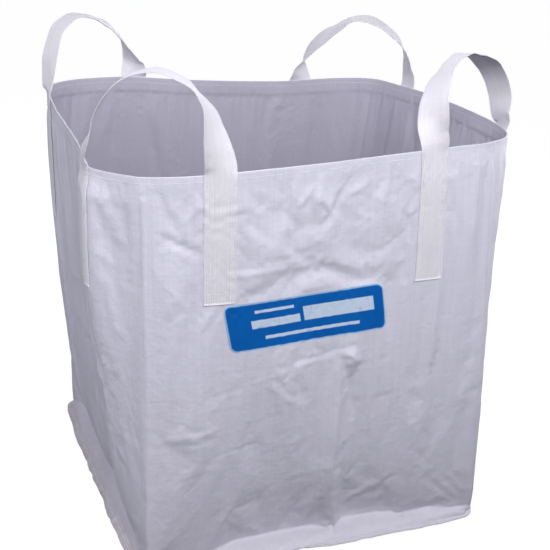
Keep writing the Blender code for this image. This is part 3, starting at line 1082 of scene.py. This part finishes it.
def stitch_places(points, normals):
    """Evenly spaced points, directions and normals of the stitches along a line of points."""
    lengths = lengths_along(points)
    count = max(int(lengths[-1] / STITCH_PITCH), 2)
    places = (np.arange(count) + 0.5) * lengths[-1] / count
    ahead = read_line(places + 0.001, lengths, points)
    behind = read_line(places - 0.001, lengths, points)
    return read_line(places, lengths, points), ahead - behind, unit(read_line(places, lengths, normals))


def leg_stitching(wall, corner, wall_index, material):
    """Rows along the leg's two edges, and two short rows across its lower end."""
    girth = leg_girths(corner)[1 if wall_index % 4 == CORNERS.index(corner) else 0]
    points, normals = leg_rows(wall, girth, LEG_BOTTOM, 1)
    surface = points + normals * (STRAP_THICK / 2 + RIB_DEPTH * 0.5)
    offsets = ACROSS * STRAP_WIDTH / 2
    rows = []
    for offset in LEG_ROWS:
        column = np.interp(offset, offsets, np.arange(STRAP_COLUMNS))
        c = int(column)
        share = column - c
        line = surface[:, c] * (1 - share) + surface[:, c + 1] * share
        rows.append(stitch_places(line[2:-1], normals[2:-1, c]))
    inner = np.abs(offsets) <= LEG_ROWS[-1]
    for row in CROSS_ROWS:
        rows.append(stitch_places(surface[row, inner], normals[row, inner]))
    at, along, up = [np.concatenate(parts) for parts in zip(*rows)]
    name = corner + "_on_" + WALLS[wall_index % 4] + "_wall"
    stitched("stitches_" + name, at, along, up, material, "stitching_" + name)


def hem_stitching(wall, material):
    """The lockstitch round the hem, seen on both faces of the fabric."""
    girth = np.linspace(0, 4, 1400, endpoint=True)
    heights = wall.rim_height(girth) - HEM_STITCH_DROP
    points, normals = wall.sample(girth, heights)
    outer = stitch_places(points + normals * THREAD_RADIUS * 0.3, normals)
    inner = stitch_places(points - normals * (3 * CLOTH + THREAD_RADIUS * 0.3), -normals)
    at, along, up = [np.concatenate(pair) for pair in zip(outer, inner)]
    stitched("hem_stitches", at, along, up, material, "hem_stitching")


def seam_stitching(wall, material):
    """The row that joins the base panel to the tube, in the middle of the seam's margin."""
    margin = seam_rows(wall)
    row = (margin[MARGIN_ROWS // 2] + margin[MARGIN_ROWS // 2 + 1]) / 2
    row = np.concatenate([row, row[:1]])
    up = np.broadcast_to([0.0, 0.0, 1.0], row.shape).copy()
    at, along, normals = stitch_places(row + up * THREAD_RADIUS * 0.4, up)
    stitched("base_seam_stitches", at, along, normals, material, "base_seam_stitching")


# ---------------------------------------------------------------- label

def girth_at(x, z, rim):
    """Girth on the front wall at a given x and height."""
    girth = (x + FOOT_HALF) / (2 * FOOT_HALF)
    rise = (z - FABRIC_FLOOR) / (rim - FABRIC_FLOOR)
    for _ in range(12):
        girth = girth + (x - smooth_wall(girth, rise)[..., 0]) / (2 * FOOT_HALF)
    return girth


def label_film(wall, material):
    """A printed film label with rounded corners, lying on the front wall."""
    rows = np.linspace(-1, 1, LABEL_ROWS)
    rows = np.sin(rows * math.pi / 2) * 0.5 + rows * 0.5
    columns = np.linspace(-1, 1, LABEL_COLUMNS)
    into_corner = np.clip(LABEL_RADIUS - (1 - np.abs(rows)) * LABEL_TALL / 2, 0, None)
    inset = LABEL_RADIUS - np.sqrt(np.clip(LABEL_RADIUS ** 2 - into_corner ** 2, 0, None))
    across = columns[None, :] * (LABEL_WIDTH / 2 - inset)[:, None]
    up = np.broadcast_to((rows * LABEL_TALL / 2)[:, None], across.shape)
    x = LABEL_CENTRE.x + across * math.cos(LABEL_TILT) - up * LABEL_LEAN
    z = LABEL_CENTRE.z + across * math.sin(LABEL_TILT) + up
    points, normals = wall.sample(girth_at(x, z, RIM_Z), z)
    front = points + normals * (LABEL_FILM + LABEL_OFF)
    back = points + normals * LABEL_OFF
    made = strip("label", front, back, across / LABEL_WIDTH + 0.5, up / LABEL_TALL + 0.5, material)
    stand_for(made, "front_label")


# ---------------------------------------------------------------- materials

class Graph:
    """A short way to write shader nodes: each call adds a node and returns its output."""

    def __init__(self, name):
        self.material = bpy.data.materials.new(name)
        self.material.use_nodes = True
        self.nodes = self.material.node_tree.nodes
        self.links = self.material.node_tree.links
        self.shader = self.nodes["Principled BSDF"]
        self.output = self.nodes["Material Output"]

    def join(self, source, target):
        if isinstance(source, (int, float, tuple)):
            target.default_value = source
        else:
            self.links.new(source, target)

    def node(self, kind, inputs=(), output=0, **settings):
        made = self.nodes.new(kind)
        for key, value in settings.items():
            setattr(made, key, value)
        for key, value in dict(inputs).items():
            self.join(value, made.inputs[key])
        return made.outputs[output]

    def math(self, operation, a, b=0.0):
        return self.node("ShaderNodeMath", {0: a, 1: b}, operation=operation)

    def times(self, a, b):
        return self.math("MULTIPLY", a, b)

    def minus(self, a, b):
        return self.math("SUBTRACT", a, b)

    def away(self, a, b):
        return self.math("ABSOLUTE", self.minus(a, b))

    def noise(self, vector, scale, detail=3.0, roughness=0.5):
        return self.node("ShaderNodeTexNoise", {"Vector": vector, "Scale": scale, "Detail": detail,
                                                "Roughness": roughness})

    def scaled(self, vector, factors):
        return self.node("ShaderNodeVectorMath", {0: vector, 1: factors}, operation="MULTIPLY")

    def ramp(self, value, low, high, to_low=0.0, to_high=1.0):
        return self.node("ShaderNodeMapRange", {"Value": value, "From Min": low, "From Max": high,
                                                "To Min": to_low, "To Max": to_high})

    def mix(self, factor, a, b):
        made = self.nodes.new("ShaderNodeMix")
        made.data_type = "RGBA"
        self.join(factor, made.inputs[0])
        self.join(a, made.inputs[6])
        self.join(b, made.inputs[7])
        return made.outputs[2]

    def bump(self, height, distance, strength=1.0, before=None):
        inputs = {"Height": height, "Distance": distance, "Strength": strength}
        if before is not None:
            inputs["Normal"] = before
        return self.node("ShaderNodeBump", inputs)

    def set(self, **values):
        for key, value in values.items():
            self.join(value, self.shader.inputs[key.replace("_", " ")])


def weave(graph, u, v, pitch):
    """Height of a plain weave of flat tapes, and a random shade for each tape."""
    tapes = []
    crowns = []
    for place in (u, v):
        across = graph.math("DIVIDE", place, pitch)
        tapes.append(graph.math("FLOOR", across))
        crowns.append(graph.math("ABSOLUTE", graph.math("SINE", graph.times(across, math.pi))))
    parity = graph.math("FLOORED_MODULO", graph.math("ADD", *tapes), 2.0)
    under = graph.minus(1.0, parity)
    upright = graph.times(graph.math("POWER", crowns[0], 0.35), graph.math("POWER", crowns[1], 0.8))
    level = graph.times(graph.math("POWER", crowns[1], 0.35), graph.math("POWER", crowns[0], 0.8))
    height = graph.math("ADD", graph.times(upright, parity), graph.times(level, under))
    tints = []
    for tape, seed in zip(tapes, (0.0, 5000.0)):
        number = graph.math("ADD", tape, seed)
        tints.append(graph.node("ShaderNodeTexWhiteNoise", {"W": number}, noise_dimensions="1D"))
    tint = graph.math("ADD", graph.times(tints[0], parity), graph.times(tints[1], under))
    return height, tint


def uv_parts(graph):
    uv = graph.node("ShaderNodeUVMap", uv_map="metres")
    split = graph.nodes.new("ShaderNodeSeparateXYZ")
    graph.links.new(uv, split.inputs[0])
    return uv, split.outputs[0], split.outputs[1]


def woven_fabric(name, light):
    """Laminated white polypropylene: flat tapes in a plain weave, a faint lilac cast, soft creases.

    A light below 1 paints shade on the cloth, more so towards the floor, for the copy used inside the bag.
    """
    graph = Graph(name)
    uv, u, v = uv_parts(graph)
    height, tint = weave(graph, u, v, TAPE_PITCH)
    position = graph.node("ShaderNodeTexCoord", output=3)
    stripes_u = graph.noise(graph.scaled(uv, (150.0, 3.0, 1.0)), 1.0, 2.0)
    stripes_v = graph.noise(graph.scaled(uv, (3.0, 150.0, 1.0)), 1.0, 2.0)
    cloudy = graph.noise(position, 4.0, 3.0)
    base = graph.mix(graph.ramp(tint, 0.0, 1.0, 0.0, 0.45), FABRIC_LIGHT, FABRIC_SHADE)
    streaks = graph.math("ADD", graph.times(stripes_u, 0.68), graph.times(stripes_v, 0.32))
    base = graph.mix(graph.ramp(streaks, 0.40, 0.62, 0.0, 0.5), base, FABRIC_SHADE)
    base = graph.mix(graph.ramp(cloudy, 0.42, 0.68, 0.0, 0.35), base, FABRIC_LILAC)
    scuffs = graph.noise(graph.scaled(position, (1.0, 1.0, 2.5)), 38.0, 5.0, 0.62)
    up = graph.node("ShaderNodeSeparateXYZ", {0: position}, output=2)
    # scuffed dirt, whose strength grows towards the floor as painted shade
    dirt_and_low_shade = graph.times(graph.ramp(scuffs, 0.56, 0.74), graph.ramp(up, 0.55, 0.0, 0.05, 0.4))
    base = graph.mix(dirt_and_low_shade, base, FABRIC_DUST_AND_LOW_SHADE)
    # painted shade: the cloth darkens evenly towards the floor
    base = graph.mix(graph.ramp(up, 0.60, 0.0, 0.0, 0.42), base, FABRIC_DUST_AND_LOW_SHADE)
    # dirt near the base seam, with painted shade on the seam margin made strongest along the left wall
    seam_dirt_and_shade = graph.times(graph.ramp(up, 0.050, 0.006), graph.ramp(scuffs, 0.34, 0.56, 0.5, 1.0))
    left = graph.ramp(graph.node("ShaderNodeSeparateXYZ", {0: position}, output=0), -0.40, -0.45)
    darkening = graph.times(seam_dirt_and_shade, graph.ramp(left, 0.0, 1.0, 0.15, 1.0))
    base = graph.mix(darkening, base, FABRIC_GRIME_AND_SHADE)
    # painted shade inside the bag, deepest towards the floor
    deeper_shade = graph.ramp(up, 1.0, 0.6, 0.95, 1.35)
    base = graph.mix(graph.times(deeper_shade, 1.0 - light), base, FABRIC_SHADOW)
    crumple = graph.noise(position, 42.0, 4.0, 0.6)
    dimples = graph.noise(position, 110.0, 3.0, 0.55)
    soft = graph.bump(crumple, 0.004, 0.55)
    finer = graph.bump(dimples, 0.0012, 0.5, soft)
    tapes = graph.bump(height, 0.00022, 0.55, finer)
    shine = graph.ramp(graph.noise(position, 9.0, 2.0), 0.35, 0.65, 0.40, 0.54)
    graph.set(Base_Color=base, Roughness=shine, Normal=tapes, Specular_IOR_Level=0.42)
    graph.set(Sheen_Weight=0.12, Sheen_Roughness=0.5)
    through = graph.node("ShaderNodeBsdfTranslucent", {"Color": FABRIC_THROUGH, "Normal": tapes})
    mixed = graph.node("ShaderNodeMixShader", {0: SEEN_THROUGH, 1: graph.shader.outputs[0], 2: through})
    graph.links.new(mixed, graph.output.inputs["Surface"])
    return graph.material


def webbing():
    """Polypropylene webbing: fine lengthwise yarns with a short cross rib."""
    graph = Graph("polypropylene_webbing")
    uv, u, v = uv_parts(graph)
    height, tint = weave(graph, u, v, YARN_PITCH)
    position = graph.node("ShaderNodeTexCoord", output=3)
    stripes = graph.noise(graph.scaled(uv, (420.0, 6.0, 1.0)), 1.0, 2.0)
    base = graph.mix(graph.ramp(tint, 0.0, 1.0, 0.0, 0.35), WEBBING_LIGHT, WEBBING_SHADE)
    base = graph.mix(graph.ramp(stripes, 0.38, 0.66, 0.0, 0.6), base, WEBBING_SHADE)
    darkening = graph.noise(position, 14.0, 4.0, 0.6)
    base = graph.mix(graph.ramp(darkening, 0.50, 0.75, 0.0, 0.35), base, WEBBING_GREY)
    fuzz = graph.noise(position, 900.0, 2.0)
    yarns = graph.bump(height, 0.00025, 0.7)
    rough = graph.bump(fuzz, 0.0002, 0.35, yarns)
    graph.set(Base_Color=base, Roughness=0.62, Normal=rough, Specular_IOR_Level=0.35)
    graph.set(Sheen_Weight=0.25, Sheen_Roughness=0.45)
    return graph.material


def sewing_thread():
    graph = Graph("polyester_thread")
    position = graph.node("ShaderNodeTexCoord", output=3)
    ply = graph.noise(position, 1400.0, 2.0)
    base = graph.mix(ply, THREAD_LIGHT, THREAD_SHADE)
    graph.set(Base_Color=base, Roughness=0.45, Normal=graph.bump(ply, 0.0002, 0.5), Sheen_Weight=0.2)
    return graph.material


def label_material():
    """Blue printed film with a pale edge and a few plain pale bars."""
    graph = Graph("printed_label_film")
    _, u, v = uv_parts(graph)
    position = graph.node("ShaderNodeTexCoord", output=3)

    def box_mask(centre_u, centre_v, half_u, half_v, soft=0.006):
        inside_u = graph.ramp(graph.minus(graph.away(u, centre_u), half_u), soft / 3, -soft / 3)
        inside_v = graph.ramp(graph.minus(graph.away(v, centre_v), half_v), soft, -soft)
        return graph.times(inside_u, inside_v)

    wear = graph.noise(position, 60.0, 5.0, 0.65)
    cloudy = graph.ramp(graph.noise(position, 12.0), 0.4, 0.7, 0.0, 0.5)
    colour = graph.mix(cloudy, LABEL_BLUE, LABEL_DEEP)
    for bar in LABEL_BARS:
        mask = graph.times(box_mask(*bar), graph.ramp(wear, 0.30, 0.42, 0.55, 0.95))
        colour = graph.mix(mask, colour, LABEL_PALE)
    past = []
    for side, share in ((LABEL_WIDTH, u), (LABEL_TALL, v)):
        from_middle = graph.times(graph.away(share, 0.5), side)
        past.append(graph.minus(from_middle, side / 2 - LABEL_RADIUS))
    squares = [graph.math("POWER", graph.math("MAXIMUM", part, 0.0), 2.0) for part in past]
    rounded = graph.math("SQRT", graph.math("ADD", squares[0], squares[1]))
    straight = graph.math("MINIMUM", graph.math("MAXIMUM", past[0], past[1]), 0.0)
    from_edge = graph.minus(LABEL_RADIUS, graph.math("ADD", rounded, straight))
    edge = graph.ramp(from_edge, LABEL_BORDER * 1.3, LABEL_BORDER * 0.7)
    colour = graph.mix(graph.times(edge, 0.85), colour, LABEL_EDGE)
    height, _ = weave(graph, graph.times(u, LABEL_WIDTH), graph.times(v, LABEL_TALL), TAPE_PITCH)
    soft = graph.bump(graph.noise(position, 42.0, 4.0, 0.6), 0.003, 0.5)
    relief = graph.bump(height, 0.00012, 0.35, soft)
    graph.set(Base_Color=colour, Roughness=graph.ramp(wear, 0.3, 0.7, 0.42, 0.6), Normal=relief)
    graph.set(Specular_IOR_Level=0.16)
    return graph.material


# ---------------------------------------------------------------- the bag, piece by piece

wall = Wall()
fabric = woven_fabric("woven_polypropylene", 1.0)
inner_shaded_fabric = woven_fabric("woven_polypropylene_inside_shaded", INSIDE_SHADED_LIGHTNESS)
web = webbing()
thread = sewing_thread()

stand_for(bag_body(wall, fabric, inner_shaded_fabric), "body_tube")
stand_for(base_sheet(wall, fabric), "base_panel")

for index, corner in enumerate(CORNERS):
    lift_loop(wall, corner, web)
    for wall_index in (index - 1, index):
        leg_stitching(wall, corner, wall_index, thread)

hem_stitching(wall, thread)
seam_stitching(wall, thread)
label_film(wall, label_material())


# ---------------------------------------------------------------- stage, lights and camera

def floor():
    """A plane that looks white to the camera but sends little light back on to the bag."""
    graph = Graph("white_floor")
    graph.set(Base_Color=FLOOR_COLOUR, Roughness=0.9, Specular_IOR_Level=0.1)
    lit = graph.node("ShaderNodeEmission", {"Color": WHITE, "Strength": 0.95})
    seen = graph.node("ShaderNodeLightPath", output=0)
    both = graph.node("ShaderNodeAddShader", {0: graph.shader.outputs[0], 1: lit})
    chosen = graph.node("ShaderNodeMixShader", {0: seen, 1: graph.shader.outputs[0], 2: both})
    graph.links.new(chosen, graph.output.inputs["Surface"])
    bpy.ops.mesh.primitive_plane_add(size=120, location=(0, 0, -0.0005))
    made = bpy.context.object
    made.name = "floor"
    made.data.materials.append(graph.material)


def area_light(name, place, target, size, watts, colour):
    data = bpy.data.lights.new(name, "AREA")
    data.shape = "DISK"
    data.size = size
    data.energy = watts
    data.color = colour
    made = bpy.data.objects.new(name, data)
    made.location = place
    made.rotation_euler = (Vector(target) - Vector(place)).to_track_quat("-Z", "Y").to_euler()
    bpy.context.scene.collection.objects.link(made)


def world_light():
    """Soft light from all round, with a white backdrop for the camera only."""
    world = bpy.data.worlds.new("studio")
    bpy.context.scene.world = world
    world.use_nodes = True
    nodes = world.node_tree.nodes
    links = world.node_tree.links
    ambient = nodes["Background"]
    ambient.inputs["Color"].default_value = AMBIENT_COLOUR
    ambient.inputs["Strength"].default_value = AMBIENT_STRENGTH
    backdrop = nodes.new("ShaderNodeBackground")
    backdrop.inputs["Color"].default_value = WHITE
    backdrop.inputs["Strength"].default_value = 1.0
    seen = nodes.new("ShaderNodeLightPath")
    chosen = nodes.new("ShaderNodeMixShader")
    links.new(seen.outputs["Is Camera Ray"], chosen.inputs[0])
    links.new(ambient.outputs[0], chosen.inputs[1])
    links.new(backdrop.outputs[0], chosen.inputs[2])
    links.new(chosen.outputs[0], nodes["World Output"].inputs["Surface"])


def camera():
    """The photograph's camera, fitted to the rim, the creases and the base."""
    azimuth, elevation, roll = [math.radians(d) for d in CAMERA_TURN]
    back = Vector((math.sin(azimuth) * math.cos(elevation), -math.cos(azimuth) * math.cos(elevation),
                   math.sin(elevation)))
    right = (-back).cross(Vector((0, 0, 1))).normalized()
    up = right.cross(-back)
    rolled_right = right * math.cos(roll) + up * math.sin(roll)
    rolled_up = up * math.cos(roll) - right * math.sin(roll)
    turned = Matrix((rolled_right, rolled_up, back)).transposed().to_4x4()
    data = bpy.data.cameras.new("camera")
    data.lens = CAMERA_LENS
    data.clip_end = 200
    made = bpy.data.objects.new("camera", data)
    made.matrix_world = Matrix.Translation(CAMERA_PLACE) @ turned
    bpy.context.scene.collection.objects.link(made)
    bpy.context.scene.camera = made


floor()
world_light()
for light in LIGHTS:
    area_light(*light)
camera()
bpy.context.scene.view_settings.view_transform = "Standard"
